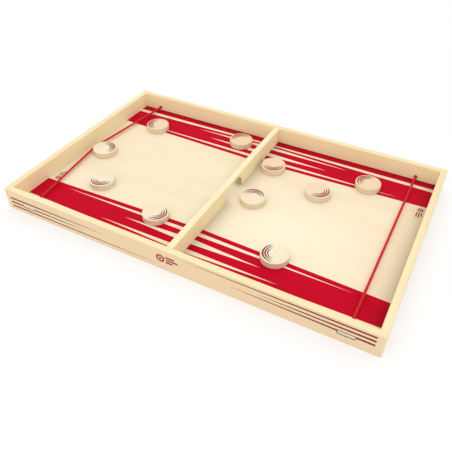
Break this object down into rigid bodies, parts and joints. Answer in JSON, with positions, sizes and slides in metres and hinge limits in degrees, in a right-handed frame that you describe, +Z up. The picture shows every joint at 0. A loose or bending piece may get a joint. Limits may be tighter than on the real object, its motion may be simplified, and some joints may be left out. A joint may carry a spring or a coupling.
{
  "type": "tabletop sling puck game",
  "caption": "Shallow wooden tray game board with a gated centre divider, an elastic sling across each end and flat round wooden pucks.",
  "frame": {"origin": "centre of the tray's footprint, on the surface it stands on", "axes": "+X along the tray's length, from the left sling to the right sling; +Y from the front rail, with the printed lines, to the back rail; +Z up"},
  "size_m": [0.935, 0.59, 0.059],
  "materials": {
    "front_rail_wood": "clear satin lacquer, tapering dark red speed lines printed on the outer face",
    "rail_wood": "clear satin lacquer",
    "divider_wood": "clear satin lacquer",
    "printed_board": "smooth lacquered plywood with printed red side bands",
    "puck_wood": "sanded, clear lacquer, three printed arcs on the top",
    "elastic_cord": "braided sheath over a rubber core",
    "bar_nylon": "moulded nylon",
    "joint_hardwood": "planed, glued in"
  },
  "bodies": {
    "tray": {"front_rail": "front_rail_wood", "back_rail": "rail_wood", "left_end_rail": "rail_wood", "right_end_rail": "rail_wood", "playing_board": "printed_board", "centre_divider": "divider_wood", "divider_dowels": "joint_hardwood", "corner_key_front_left": "joint_hardwood", "corner_key_front_right": "joint_hardwood", "corner_key_back_left": "joint_hardwood", "corner_key_back_right": "joint_hardwood", "left_sling_bar_front": "bar_nylon", "left_sling_bar_back": "bar_nylon", "right_sling_bar_front": "bar_nylon", "right_sling_bar_back": "bar_nylon"},
    "left_sling": {"left_sling_cord": "elastic_cord"},
    "right_sling": {"right_sling_cord": "elastic_cord"},
    "puck_01": {"puck_01": "puck_wood"},
    "puck_02": {"puck_02": "puck_wood"},
    "puck_03": {"puck_03": "puck_wood"},
    "puck_04": {"puck_04": "puck_wood"},
    "puck_05": {"puck_05": "puck_wood"},
    "puck_06": {"puck_06": "puck_wood"},
    "puck_07": {"puck_07": "puck_wood"},
    "puck_08": {"puck_08": "puck_wood"},
    "puck_09": {"puck_09": "puck_wood"},
    "puck_10": {"puck_10": "puck_wood"}
  },
  "joints": [
    {"name": "left_sling_draw", "type": "slide", "parent": "tray", "child": "left_sling", "axis": [1, 0, 0], "range_m": [-0.012, 0.03505], "stiffness_N_per_m": 120, "springref_m": 0.03505, "deforming": ["left_sling_cord"]},
    {"name": "right_sling_draw", "type": "slide", "parent": "tray", "child": "right_sling", "axis": [1, 0, 0], "range_m": [0, 0.045], "stiffness_N_per_m": 120, "deforming": ["right_sling_cord"]},
    {"name": "puck_01_slide", "type": "slide", "parent": "left_sling", "child": "puck_01", "axis": [1, 0, 0], "range_m": [0, 0.21]},
    {"name": "puck_02_slide", "type": "slide", "parent": "tray", "child": "puck_02", "axis": [1, 0, 0], "range_m": [-0.048, 0.11]},
    {"name": "puck_03_slide", "type": "slide", "parent": "tray", "child": "puck_03", "axis": [1, 0, 0], "range_m": [-0.019, 0.13]},
    {"name": "puck_04_slide", "type": "slide", "parent": "tray", "child": "puck_04", "axis": [1, 0, 0], "range_m": [-0.06, 0.038]},
    {"name": "puck_05_slide", "type": "slide", "parent": "tray", "child": "puck_05", "axis": [1, 0, 0], "range_m": [-0.025, 0.065]},
    {"name": "puck_06_slide", "type": "slide", "parent": "tray", "child": "puck_06", "axis": [1, 0, 0], "range_m": [-0.007, 0.08]},
    {"name": "puck_07_slide", "type": "slide", "parent": "tray", "child": "puck_07", "axis": [1, 0, 0], "range_m": [-0.142, 0.29]},
    {"name": "puck_08_slide", "type": "slide", "parent": "tray", "child": "puck_08", "axis": [1, 0, 0], "range_m": [-0.015, 0.16]},
    {"name": "puck_09_slide", "type": "slide", "parent": "tray", "child": "puck_09", "axis": [1, 0, 0], "range_m": [-0.075, 0.06]},
    {"name": "puck_10_slide", "type": "slide", "parent": "tray", "child": "puck_10", "axis": [1, 0, 0], "range_m": [-0.148, 0.165]}
  ]
}
